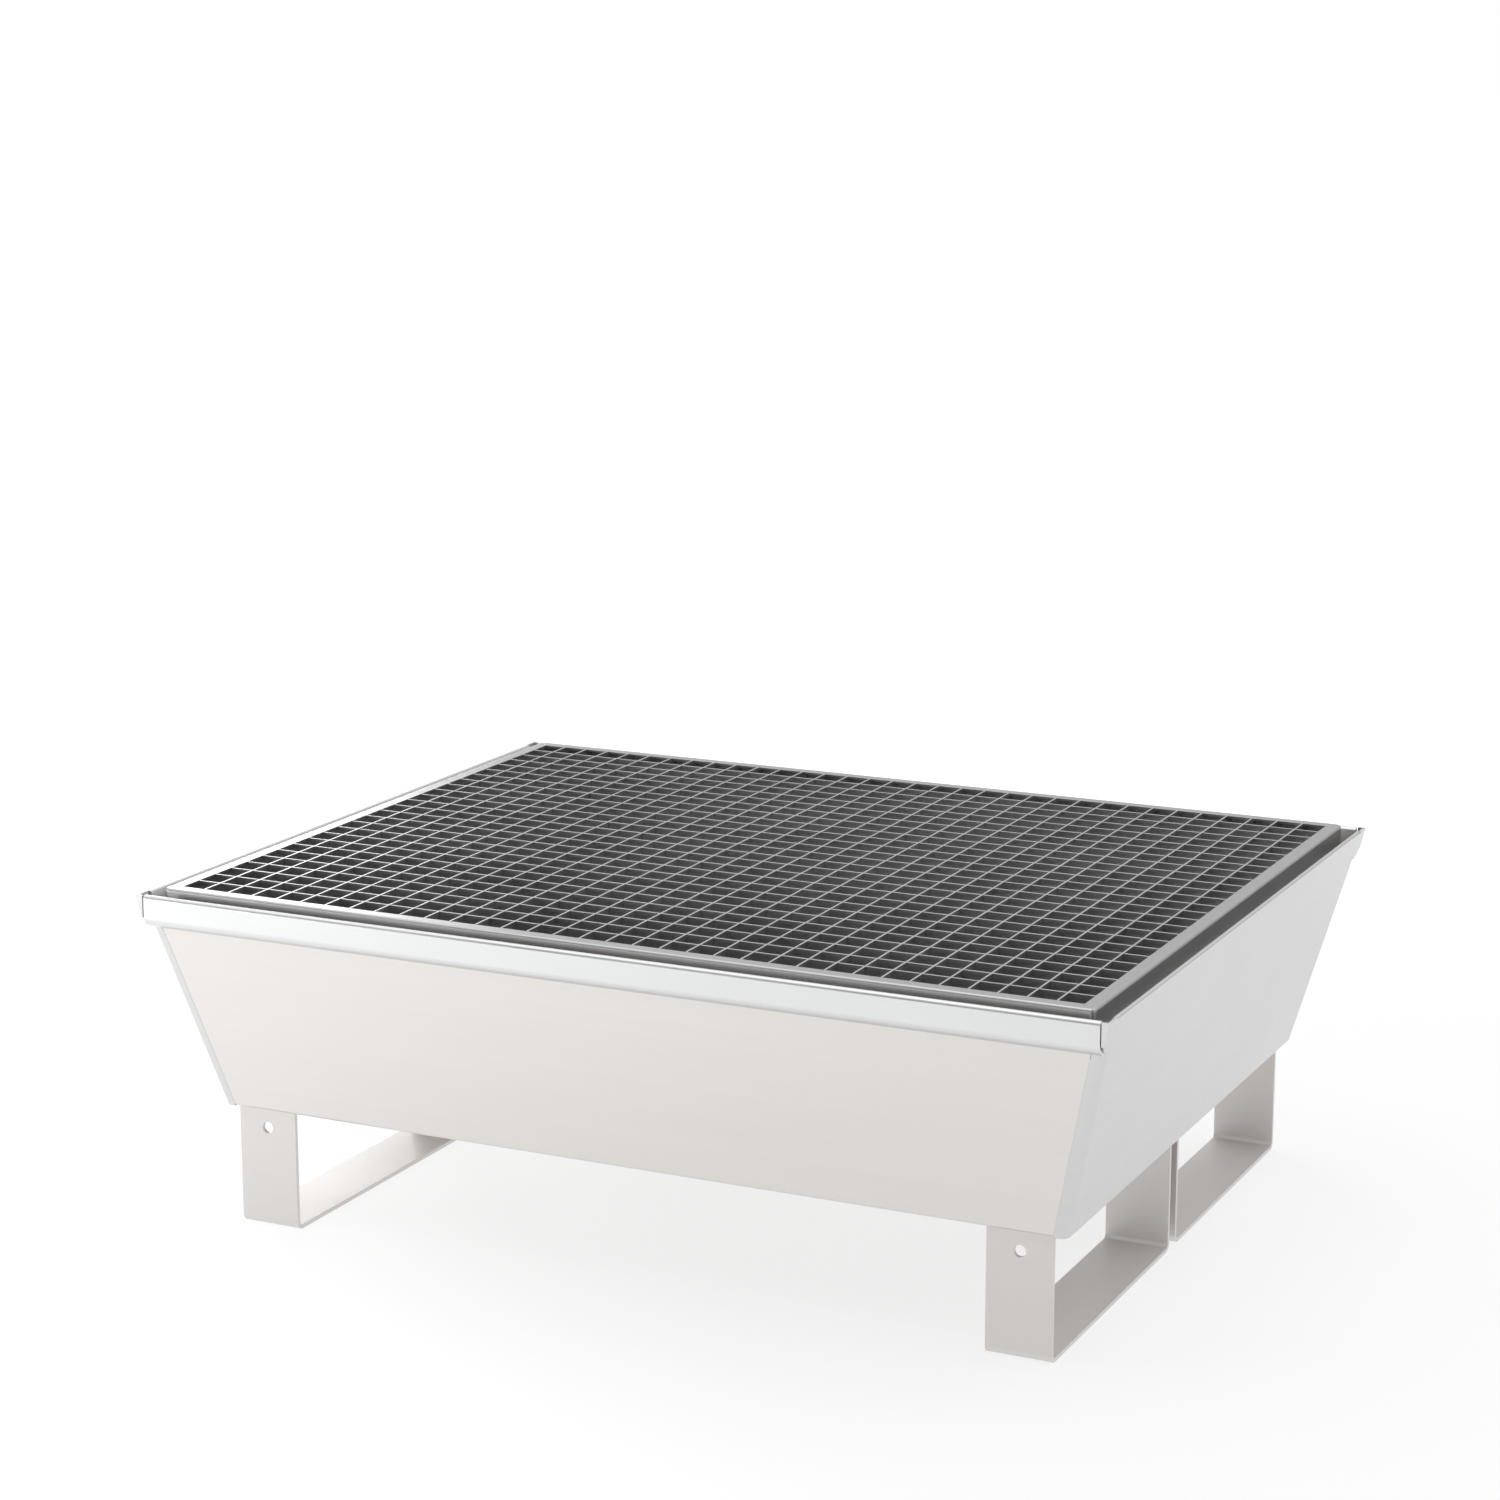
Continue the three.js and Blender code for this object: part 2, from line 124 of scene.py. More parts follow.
class PalletSizes(bpy.types.PropertyGroup):
    """Sizes that the frame's boxes don't give."""
    sheet: length("Sheet", "Thickness of the sump's sheet", 0.003)
    end_lean: length("End lean", "How far an end wall leans out on its way up", 0.068)
    wall_lean: length("Wall lean", "How far a rim lip stands out from the foot of its wall", 0.070)
    base_bend: length("Base bend", "Radius of the floor's bends, at the middle of the sheet", 0.004)
    fold_bend: length("Fold bend", "Radius of the fold at the rim, at the middle of the sheet", 0.003)
    lip_bend: length("Lip bend", "Radius at the lip's lower edge, at the middle of the sheet", 0.008)
    lip_height: length("Lip height", "From the rim to where the lip turns back to the wall", 0.032)
    lip_turn: angle("Lip turn", "How far the lip turns back", 60)
    lip_gap: length("Lip gap", "Between the lip's lower edge and the wall", 0.0008)
    corner_bend: length("Corner bend", "Radius of the upright corners, at the middle of the sheet", 0.010)
    corner_return: length("Corner return", "How far an end wall wraps onto a long wall", 0.014)
    ear_height: length("Ear height", "Height of the ears' turned-in edges", 0.027)
    ear_slot: length("Ear slot", "Open slot between a lip and the ear beside it", 0.0011)
    hem_height: length("Hem height", "Depth of the hem folded inside the top of an end wall", 0.020)
    strap: length("Strap", "Thickness of a foot's strap", 0.005)
    strap_bend: length("Strap bend", "Radius of a foot's bends, at the middle of the strap", 0.008)
    foot_hole: length("Foot hole", "Diameter of the hole in a foot's outer leg", 0.014)
    foot_hole_height: length("Foot hole height", "From the floor to the hole's centre", 0.124)
    rail_plate: length("Rail plate", "Thickness of a support rail", 0.004)
    rail_bend: length("Rail bend", "Radius of a rail's bend, at the middle of the plate", 0.004)
    frame_plate: length("Frame plate", "Thickness of the grating frame's angle", 0.003)
    frame_corner: length("Frame corner", "Radius of the frame's upright corners", 0.006)
    frame_bend: length("Frame bend", "Radius of the frame's upper edge, at the middle of the plate", 0.0018)
    cross_bar_step: IntProperty(name="Cross bar step", default=5, min=1,
                                description="Rows of cross bars from one solid to the next")
    cross_bar_drop: length("Cross bar drop", "How far the cross bars lie below the bearing bars", 0.0003)


class PalletFinishes(bpy.types.PropertyGroup):
    """Colours and gloss of the steel."""
    wall_tint: colour("Long walls", "Colour of the folded sheet", (0.74, 0.711, 0.688))
    # The rim lips are folds of the same sheet as the long walls; the difference between their tints is a
    # painted reflection.
    lip_reflection_tint: colour("Rim lips", "Colour of the folded rim", (0.71, 0.714, 0.717))
    # The end walls are the same steel as the long walls; their darker, neutral tint is painted shade.
    end_shade_tint: colour("End walls", "Colour of the end walls", (0.655, 0.655, 0.655))
    strap_tint: colour("Feet", "Colour of the feet", (0.725, 0.699, 0.68))
    rail_tint: colour("Rails", "Colour of the support rails", (0.62, 0.61, 0.60))
    frame_tint: colour("Grating frame", "Colour of the grating's frame", (0.50, 0.50, 0.50))
    bar_tint: colour("Bars", "Colour of the grating's bars", (0.54, 0.545, 0.55))
    weld_tint: colour("Welds", "Colour of the welds", (0.60, 0.59, 0.58))
    floor_tint: colour("Floor", "Colour of the studio floor", (0.24, 0.24, 0.24))
    # Lower near the pallet than far from it: a painted shadow on the floor round the pallet.
    shaded_floor_glow: strength("Floor glow", "Light of the studio floor's own, near the pallet", 0.735)
    far_glow: strength("Far glow", "Light of the studio floor's own, far from the pallet", 1.0)
    gloss: share("Roughness", "Roughness of the sheet", 0.38)


class PalletStudio(bpy.types.PropertyGroup):
    """Camera and lights."""
    camera_place: FloatVectorProperty(name="Camera", description="Where the camera stands", size=3,
                                      default=(1.7210, -3.6544, 1.4243), subtype="TRANSLATION",
                                      unit="LENGTH")
    camera_tilt: angle("Tilt", "How far the camera looks down", 12.17)
    camera_turn: angle("Turn", "How far the camera turns to the left", 25.65)
    lens: FloatProperty(name="Lens", description="Focal length in millimetres", default=81.71, min=1)
    sky: strength("Sky", "Brightness overhead", 1.3)
    horizon: strength("Horizon", "Brightness at the horizon", 0.47)
    front: share("Front", "Share of that brightness left behind the camera", 0.35)
    key: power("Key light", "Power of the overhead light in watts", 40)
    window: power("Window light", "Power of the light at the front left in watts", 40)
    rim: power("Back light", "Power of the light at the back left in watts", 90)


# ---------------------------------------------------------------- shader maths

MIX_FACTOR, MIX_FIRST, MIX_SECOND, MIX_COLOUR = 0, 6, 7, 2    # a colour Mix node's sockets


class Shade:
    """A socket in a material's node tree, so that its maths reads as Python."""

    def __init__(self, tree, socket=None):
        self.tree = tree
        self.socket = socket

    def node(self, kind, settings=None, inputs=None, output=0):
        """A new node of the tree: its settings are set first, then its sockets' values or links."""
        made = self.tree.nodes.new(kind)
        for name, value in (settings or {}).items():
            setattr(made, name, value)
        for name, value in (inputs or {}).items():
            if isinstance(value, Shade):
                self.tree.links.new(value.socket, made.inputs[name])
            else:
                made.inputs[name].default_value = value
        return Shade(self.tree, made.outputs[output] if made.outputs else None)

    def calculate(self, operation, first, second):
        return self.node("ShaderNodeMath", {"operation": operation}, {0: first, 1: second})

    def __add__(self, other):
        return self.calculate("ADD", self, other)

    def __sub__(self, other):
        return self.calculate("SUBTRACT", self, other)

    def __rsub__(self, other):
        return self.calculate("SUBTRACT", other, self)

    def __mul__(self, other):
        return self.calculate("MULTIPLY", self, other)

    __radd__ = __add__
    __rmul__ = __mul__

    def noise(self, scale, detail=2.0, roughness=0.5):
        """Noise in 0 to 1 over this socket's coordinates."""
        return self.node("ShaderNodeTexNoise", {"noise_dimensions": "3D"},
                         {"Vector": self, "Scale": scale, "Detail": detail, "Roughness": roughness})

    def stretched(self, scale):
        """These coordinates scaled along each axis."""
        return self.node("ShaderNodeMapping", {"vector_type": "POINT"}, {"Vector": self, "Scale": scale})

    def between(self, dark, light):
        """From one colour to the other as this value goes from 0 to 1."""
        return self.node("ShaderNodeMix", {"data_type": "RGBA"},
                         {MIX_FACTOR: self, MIX_FIRST: (*dark, 1), MIX_SECOND: (*light, 1)}, MIX_COLOUR)


def tinted(tint, amount):
    """A colour made lighter or darker, kept within 0 to 1."""
    return tuple(min(1.0, channel * amount) for channel in tint)


# Scales of the patterns on the steel, per metre
GRAIN_ACROSS = 900.0
GRAIN_ALONG = 9.0
BAND_ACROSS = 60.0
BAND_ALONG = 1.5
CLOUDS = 5.0
MARKS = 38.0

GRAIN_TONE, BAND_TONE, CLOUD_TONE = 0.40, 0.35, 0.25       # their shares of the colour's changes
GRAIN_GLOSS, CLOUD_GLOSS, MARK_GLOSS = 0.10, 0.16, 0.05    # how far each changes the roughness
BAND_RELIEF = 0.6                                          # height of the bands, in grains
TONE_RANGE = 0.05                                          # how far the colour changes either way
GRAIN_DEPTH = 0.00003
BUMP_STRENGTH = 0.35


def steel(name, tint, roughness, grain_axis, grain_depth=GRAIN_DEPTH, metallic=1.0):
    """Brushed steel: fine grain along one axis, broad faint bands, clouded gloss and a few handling marks."""
    material = bpy.data.materials.new(name)
    material.use_nodes = True
    tree = material.node_tree
    tree.nodes.clear()
    place = Shade(tree).node("ShaderNodeTexCoord", output="Object")
    fine_scale = [GRAIN_ACROSS] * 3
    band_scale = [BAND_ACROSS] * 3
    fine_scale[grain_axis] = GRAIN_ALONG
    band_scale[grain_axis] = BAND_ALONG
    grain = place.stretched(fine_scale).noise(1.0, 3.0, 0.6)
    bands = place.stretched(band_scale).noise(1.0, 2.0, 0.5)
    clouds = place.noise(CLOUDS, 3.0, 0.55)
    marks = place.noise(MARKS, 4.0, 0.7)
    tone = GRAIN_TONE * grain + BAND_TONE * bands + CLOUD_TONE * clouds
    gloss = (roughness + CLOUD_GLOSS * (clouds - 0.5) + GRAIN_GLOSS * (grain - 0.5)
             + MARK_GLOSS * (marks - 0.5))
    relief = grain + BAND_RELIEF * bands
    bump = place.node("ShaderNodeBump", {}, {
        "Strength": BUMP_STRENGTH, "Distance": grain_depth, "Height": relief,
    }, "Normal")
    base = tone.between(tinted(tint, 1 - TONE_RANGE), tinted(tint, 1 + TONE_RANGE))
    shader = place.node("ShaderNodeBsdfPrincipled", {}, {
        "Base Color": base, "Metallic": metallic, "Roughness": gloss, "Normal": bump,
    })
    place.node("ShaderNodeOutputMaterial", {}, {"Surface": shader})
    return material


# ---------------------------------------------------------------- mesh helpers

BEND_STEPS = 8
MERGE = 1e-6
TINY = 1e-4
EDGE_ROUND = 0.0004              # radius on cut edges of sheet and strap
EDGE_STEPS = 2
CUT_EDGE = math.radians(50)      # edges sharper than this are cut edges, and gentler ones are bends
FLAT_WEIGHT = 90                 # how far large faces hold the shading flat


def add_piece(name, mesh, materials, body, replaces=(), thickness=0.0, edge=0.0):
    """Turns a bmesh into a piece of the object that rides on a body and stands for CAD nodes."""
    bmesh.ops.remove_doubles(mesh, verts=mesh.verts, dist=MERGE)
    bmesh.ops.recalc_face_normals(mesh, faces=mesh.faces)
    for face in mesh.faces:
        face.smooth = True
    data = bpy.data.meshes.new(name)
    mesh.to_mesh(data)
    mesh.free()
    for material in materials:
        data.materials.append(material)
    piece = bpy.data.objects.new(name, data)
    bpy.context.scene.collection.objects.link(piece)
    if thickness:
        shell = piece.modifiers.new("Thickness", "SOLIDIFY")
        shell.thickness = thickness
        shell.offset = 0
        shell.use_even_offset = True
        shell.use_quality_normals = True
    if edge:
        rounding = piece.modifiers.new("Rounded edges", "BEVEL")
        rounding.width = edge
        rounding.segments = EDGE_STEPS
        rounding.limit_method = "ANGLE"
        rounding.angle_limit = CUT_EDGE
    flat = piece.modifiers.new("Flat faces", "WEIGHTED_NORMAL")
    flat.mode = "FACE_AREA"
    flat.weight = FLAT_WEIGHT
    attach(piece, body)
    if replaces:
        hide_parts(*replaces)
    return piece


def strip(points, half_length):
    """A surface through (y, z) points, run along x and centred on x = 0."""
    mesh = bmesh.new()
    row = [mesh.verts.new((-half_length, y, z)) for y, z in points]
    edges = [mesh.edges.new(pair) for pair in zip(row, row[1:])]
    run = bmesh.ops.extrude_edge_only(mesh, edges=edges)
    bmesh.ops.translate(mesh, verts=new_verts(run), vec=(2 * half_length, 0, 0))
    return mesh


def new_verts(result):
    """The vertices that an extrusion made."""
    return [item for item in result["geom"] if isinstance(item, bmesh.types.BMVert)]


def new_edges(result):
    """The edges that an extrusion made."""
    return [item for item in result["geom"] if isinstance(item, bmesh.types.BMEdge)]


def edges_where(mesh, test):
    """The edges whose two ends both pass a test on their coordinates."""
    return [edge for edge in mesh.edges if all(test(vert.co) for vert in edge.verts)]


def round_fold(mesh, edges, radius, steps=BEND_STEPS):
    """Turns sharp folds into round ones of a radius at the middle of the sheet."""
    mesh.normal_update()
    turn = edges[0].calc_face_angle()
    bmesh.ops.bevel(mesh, geom=edges, offset=radius * math.tan(turn / 2), offset_type="OFFSET",
                    segments=steps, profile=0.5, affect="EDGES", material=-1)


def fold_at(mesh, y, z, radius):
    """Rounds the fold that runs along x at (y, z)."""
    edges = edges_where(mesh, lambda co: abs(co.y - y) < TINY and abs(co.z - z) < TINY)
    round_fold(mesh, edges, radius)


def trim(mesh, belongs, point, normal):
    """Takes away what lies beyond a plane, from the faces that pass a test only."""
    faces = [face for face in mesh.faces if belongs(face)]
    edges = {edge for face in faces for edge in face.edges}
    verts = {vert for face in faces for vert in face.verts}
    bmesh.ops.bisect_plane(mesh, geom=[*faces, *edges, *verts], dist=MERGE, plane_co=point, plane_no=normal)
    beyond = [face for face in mesh.faces if belongs(face)
              and (face.calc_center_median() - Vector(point)).dot(Vector(normal)) > 0]
    bmesh.ops.delete(mesh, geom=beyond, context="FACES")


BEAD_SIDES = 10
BEAD_RIPPLE = 0.10       # height of a bead's ripples, in radii
BEAD_PITCH = 0.0045      # from one ripple to the next
RINGS_PER_RIPPLE = 4
FEWEST_RINGS = 6
BEAD_TIP = 0.45          # radius at a bead's very end, in radii
BEAD_TAPER = 3           # length of its tapered end, in radii


def weld_bead(mesh, start, end, radius, ripple=BEAD_RIPPLE, pitch=BEAD_PITCH):
    """A run of weld from start to end, rippled along its length and tapered at its ends."""
    start, end = Vector(start), Vector(end)
    along = (end - start).normalized()
    run = (end - start).length
    place = Matrix.Translation((start + end) / 2) @ along.to_track_quat("Z", "X").to_matrix().to_4x4()
    made = bmesh.ops.create_cone(mesh, cap_ends=True, segments=BEAD_SIDES, radius1=radius, radius2=radius,
                                 depth=run, matrix=place)
    around = set(made["verts"])
    lengthwise = [edge for edge in mesh.edges if set(edge.verts) <= around
                  and abs((edge.verts[0].co - edge.verts[1].co).dot(along)) > run / 2]
    rings = max(FEWEST_RINGS, int(RINGS_PER_RIPPLE * run / pitch))
    bmesh.ops.subdivide_edges(mesh, edges=lengthwise, cuts=rings, use_grid_fill=True)
    for vert in {vert for edge in mesh.edges for vert in edge.verts}:
        reach = (vert.co - start).dot(along)
        centre = start + along * reach
        spoke = vert.co - centre
        if spoke.length > 1.5 * radius or not -TINY < reach < run + TINY:
            continue
        if abs(spoke.length - radius) > TINY / 2:
            continue
        taper = min(1.0, BEAD_TIP + min(reach, run - reach) / (BEAD_TAPER * radius))
        wave = 1 + ripple * math.sin(2 * math.pi * reach / pitch)
        vert.co = centre + spoke * taper * wave


# ---------------------------------------------------------------- shape of the sump

WELD_GAP = 0.0003        # between pieces that are welded
# The lips' material is a copy of the sheet steel whose tint is changed as a painted reflection.
LIP_REFLECTION_SLOT = 1           # the trough's second material
HEM_TIGHTNESS = 0.52     # radius of a hem, at the middle of the sheet, in sheet thicknesses
EAR_CLEAR = 2e-5         # from an ear to the panel beside it, so that the two stay separate faces
ON_WALL = 0.7            # how far off a wall's middle a face of it may lie, in sheet thicknesses


def wall_mid_y(sizes, z):
    """From the middle of the pallet to the middle of a long wall's sheet, at a height."""
    bottom = HALF_WIDTH - sizes.wall_lean - sizes.sheet / 2
    top = HALF_WIDTH - sizes.sheet / 2 - 2 * sizes.fold_bend
    return bottom + (top - bottom) * (z - BASE_Z - sizes.sheet / 2) / (RIM_Z - BASE_Z - sizes.sheet)


def wall_slope(sizes):
    """How far a long wall moves out for each metre that it rises."""
    return wall_mid_y(sizes, 1) - wall_mid_y(sizes, 0)


def end_slope(sizes):
    """How far an end wall moves out for each metre that it rises."""
    return sizes.end_lean / (RIM_Z - BASE_Z)


def end_mid_x(sizes, z):
    """From the middle of the pallet to the middle of an end wall's sheet, at a height."""
    return HALF_LENGTH - sizes.sheet / 2 - end_slope(sizes) * (RIM_Z - z)


def ear_z(sizes):
    """The lower edge of the ears."""
    return RIM_Z - sizes.ear_height


def lip_profile(sizes):
    """The sheet's middle line from a lip's lower edge to the fold, as (y, z) corners with their bends."""
    lip_y = HALF_WIDTH - sizes.sheet / 2
    fold_z = RIM_Z - sizes.sheet / 2
    corner_z = RIM_Z - sizes.lip_height
    slope = wall_slope(sizes)
    half_level = sizes.sheet / 2 / math.cos(math.atan(slope))
    edge = sizes.sheet / 2 * (math.cos(sizes.lip_turn) + slope * math.sin(sizes.lip_turn))
    room = lip_y - wall_mid_y(sizes, corner_z) - half_level - sizes.lip_gap - edge
    reach = room / (1 - slope / math.tan(sizes.lip_turn))
    drop = reach / math.tan(sizes.lip_turn)
    return [
        ((lip_y - reach, corner_z - drop), 0),
        ((lip_y, corner_z), sizes.lip_bend),
        ((lip_y, fold_z), sizes.fold_bend),
        ((wall_mid_y(sizes, fold_z), fold_z), sizes.fold_bend),
    ]


def trough_mesh(sizes):
    """Floor, long walls and rim lips as one folded surface, its walls cut to the slope of the ends."""
    floor_z = BASE_Z + sizes.sheet / 2
    corner_z = RIM_Z - sizes.lip_height
    fold_bottom = RIM_Z - sizes.sheet - 2 * sizes.fold_bend
    half = lip_profile(sizes)
    half += [((wall_mid_y(sizes, z), z), 0) for z in (fold_bottom, ear_z(sizes))]
    half.append(((wall_mid_y(sizes, floor_z), floor_z), sizes.base_bend))
    corners = half + [((-y, z), bend) for (y, z), bend in reversed(half)]
    mesh = strip([corner for corner, _ in corners], LIP_END_X)
    for (y, z), bend in corners:
        if bend:
            fold_at(mesh, y, z, bend)

    def on_wall(face, low, high):
        centre = face.calc_center_median()
        off_wall = abs(abs(centre.y) - wall_mid_y(sizes, centre.z))
        return low < centre.z < high and off_wall < sizes.sheet * ON_WALL

    bend_z = floor_z + sizes.base_bend
    returns = sizes.corner_return + WELD_GAP
    inside = sizes.sheet / 2 + WELD_GAP
    zones = (     # floor, its bends, the walls below the ears, the walls beside them
        (lambda face: face.calc_center_median().z < floor_z + TINY, inside),
        (lambda face: floor_z + TINY < face.calc_center_median().z < bend_z, inside + sizes.corner_bend),
        (lambda face: on_wall(face, bend_z, ear_z(sizes)), returns),
        (lambda face: on_wall(face, ear_z(sizes), fold_bottom), inside),
    )
    for belongs, back in zones:
        for end in ENDS.values():
            point = (end * (end_mid_x(sizes, BASE_Z) - back), 0, BASE_Z)
            trim(mesh, belongs, point, (end, 0, -end_slope(sizes)))
    lip_bottom = corner_z - sizes.lip_height
    for face in mesh.faces:
        centre = face.calc_center_median()
        if abs(centre.y) > wall_mid_y(sizes, centre.z) + TINY and centre.z > lip_bottom:
            face.material_index = LIP_REFLECTION_SLOT
    return mesh


def end_wall_mesh(sizes):
    """The right end wall: wrapped round its upright corners, hemmed at the top, with an ear at each side."""
    rise = ear_z(sizes) - BASE_Z
    end_x, side_y = end_mid_x(sizes, BASE_Z), wall_mid_y(sizes, BASE_Z)
    inner_x = end_x - sizes.corner_return
    mesh = bmesh.new()
    plan = [(inner_x, -side_y), (end_x, -side_y), (end_x, side_y), (inner_x, side_y)]
    row = [mesh.verts.new((x, y, BASE_Z)) for x, y in plan]
    edges = [mesh.edges.new(pair) for pair in zip(row, row[1:])]
    top = new_verts(bmesh.ops.extrude_edge_only(mesh, edges=edges))
    for vert in top:
        splay = math.copysign(wall_slope(sizes), vert.co.y)
        vert.co += Vector((end_slope(sizes), splay, 1)) * rise
    corners = [edge for edge in mesh.edges if edge.is_manifold]
    round_fold(mesh, corners, sizes.corner_bend)

    # The panel goes on up between the corners, and its flat ears close the ends of the lips.
    hem_bend = sizes.sheet * HEM_TIGHTNESS
    lean = math.atan(end_slope(sizes))
    hem_z = RIM_Z - hem_bend * math.sin(lean) - hem_bend - sizes.sheet / 2
    at_top = edges_where(mesh, lambda co: abs(co.z - ear_z(sizes)) < TINY)
    upper = max(at_top, key=lambda edge: edge.calc_length())
    panel_y = abs(upper.verts[0].co.y)
    grown = bmesh.ops.extrude_edge_only(mesh, edges=[upper])
    bmesh.ops.translate(mesh, verts=new_verts(grown), vec=sloped(sizes, hem_z - ear_z(sizes)))
    hem_edge = next(edge for edge in new_edges(grown)
                    if all(vert.co.z > hem_z - TINY for vert in edge.verts))
    for side in SIDES.values():
        outline = ear_outline(sizes, panel_y)
        mesh.faces.new([mesh.verts.new((end_mid_x(sizes, z), side * y, z)) for y, z in outline])

    # The hem rolls over inwards and hangs down behind the panel.
    inward = Vector((-math.cos(lean), 0, math.sin(lean)))
    centre = hem_edge.verts[0].co + inward * hem_bend
    rolled = bmesh.ops.spin(mesh, geom=[hem_edge, *hem_edge.verts], cent=centre, axis=(0, 1, 0),
                            angle=-math.pi, steps=BEND_STEPS, use_merge=False, use_duplicate=False,
                            use_normal_flip=False)
    last = [item for item in rolled["geom_last"] if isinstance(item, bmesh.types.BMEdge)]
    hung = bmesh.ops.extrude_edge_only(mesh, edges=last)
    bmesh.ops.translate(mesh, verts=new_verts(hung), vec=sloped(sizes, -(sizes.hem_height - sizes.sheet)))
    return mesh


def ear_outline(sizes, panel_y):
    """An ear's corners as (y, z): up beside the panel, out to the lip's face, down along the lip's turn."""
    (edge_y, edge_z), _ = lip_profile(sizes)[0]
    (corner_y, corner_z), bend = lip_profile(sizes)[1]
    turn = sizes.lip_turn
    tangent = bend * math.tan(turn / 2)
    clear = sizes.sheet / 2 + WELD_GAP
    inset = Vector((-math.cos(turn), math.sin(turn))) * clear
    top_z = RIM_Z - TINY / 2
    return [
        (panel_y + EAR_CLEAR, edge_z + inset.y),
        (panel_y + EAR_CLEAR, top_z),
        (HALF_WIDTH - TINY / 2, top_z),
        (HALF_WIDTH - TINY / 2, ear_z(sizes)),
        (corner_y - clear, ear_z(sizes)),
        (corner_y - clear, corner_z + tangent),
        (corner_y - tangent * math.sin(turn) + inset.x, corner_z - tangent * math.cos(turn) + inset.y),
        (edge_y + inset.x, edge_z + inset.y),
    ]


def ear_return_mesh(sizes, side):
    """The turned-in edge of a right-hand ear: a wedge that fills the room between the ear and the slot."""
    slot_x = LIP_END_X + sizes.ear_slot
    mesh = bmesh.new()
    bmesh.ops.create_cube(mesh, size=1)
    for vert in mesh.verts:
        high, out, back = vert.co.z > 0, vert.co.y > 0, vert.co.x < 0
        z = RIM_Z - TINY if high else ear_z(sizes)
        y = side * (HALF_WIDTH - (TINY if out else sizes.sheet))
        vert.co = (slot_x if back else end_mid_x(sizes, z), y, z)
    return mesh


def sloped(sizes, rise):
    """A move along the slope of the right end wall."""
    return Vector((end_slope(sizes) * rise, 0, rise))


def rail_mesh(sizes, along_wall, slope, low, high, half_length):
    """An angle on the inside of the wall at +y: a level shelf and a leg that lies on the sloping wall."""
    shelf_z = high.z - sizes.rail_plate / 2
    leg_z = low.z
    offset = (sizes.sheet / 2 + WELD_GAP + sizes.rail_plate / 2) / math.cos(math.atan(slope))
    corner = (along_wall(sizes, shelf_z) - offset, shelf_z)
    foot = (along_wall(sizes, leg_z) - offset, leg_z + TINY)
    mesh = strip([(low.y, shelf_z), corner, foot], half_length)
    fold_at(mesh, *corner, sizes.rail_bend)
    return mesh


def turned(mesh, turn):
    """The whole mesh turned about z."""
    bmesh.ops.rotate(mesh, verts=mesh.verts, cent=(0, 0, 0), matrix=Matrix.Rotation(turn, 3, "Z"))
    return mesh


# ---------------------------------------------------------------- shape of the feet

HOLE_SIDES = 40


def foot_mesh(sizes):
    """A U-shaped strap in the place of the front right foot, with a hole through its outer leg."""
    half_strap = sizes.strap / 2
    outer_y, inner_y = FOOT_LOW.y + half_strap, FOOT_HIGH.y - half_strap
    top_z, sole_z = FOOT_HIGH.z, half_strap
    half_wide = (FOOT_HIGH.x - FOOT_LOW.x) / 2
    mesh = strip([(outer_y, top_z), (outer_y, sole_z), (inner_y, sole_z), (inner_y, top_z)], half_wide)
    for y in (outer_y, inner_y):
        fold_at(mesh, y, sole_z, sizes.strap_bend)
    leg = max((face for face in mesh.faces if abs(face.calc_center_median().y - outer_y) < TINY),
              key=lambda face: face.calc_area())
    border = list(leg.edges)
    bmesh.ops.delete(mesh, geom=[leg], context="FACES_ONLY")
    upright = Matrix.Translation((0, outer_y, sizes.foot_hole_height)) @ Matrix.Rotation(math.pi / 2, 4, "X")
    ring = bmesh.ops.create_circle(mesh, segments=HOLE_SIDES, radius=sizes.foot_hole / 2, matrix=upright)
    hole = {edge for vert in ring["verts"] for edge in vert.link_edges}
    bmesh.ops.triangle_fill(mesh, use_beauty=True, use_dissolve=False, edges=[*border, *hole])
    bmesh.ops.translate(mesh, verts=mesh.verts, vec=((FOOT_LOW.x + FOOT_HIGH.x) / 2, 0, 0))
    return mesh


# ---------------------------------------------------------------- shape of the grating

MITRE_GAP = 0.0001
CORNER_STEPS = 6                    # flats in the frame's upright corners
FLANGE_STEPS = 4                    # flats in the bend along its upper edge
FLANGE_FOLD = math.radians(60)      # edges folded more than this are the flange's
BAR_CHAMFER = 0.12                  # on a bar's upper edges, in bar thicknesses


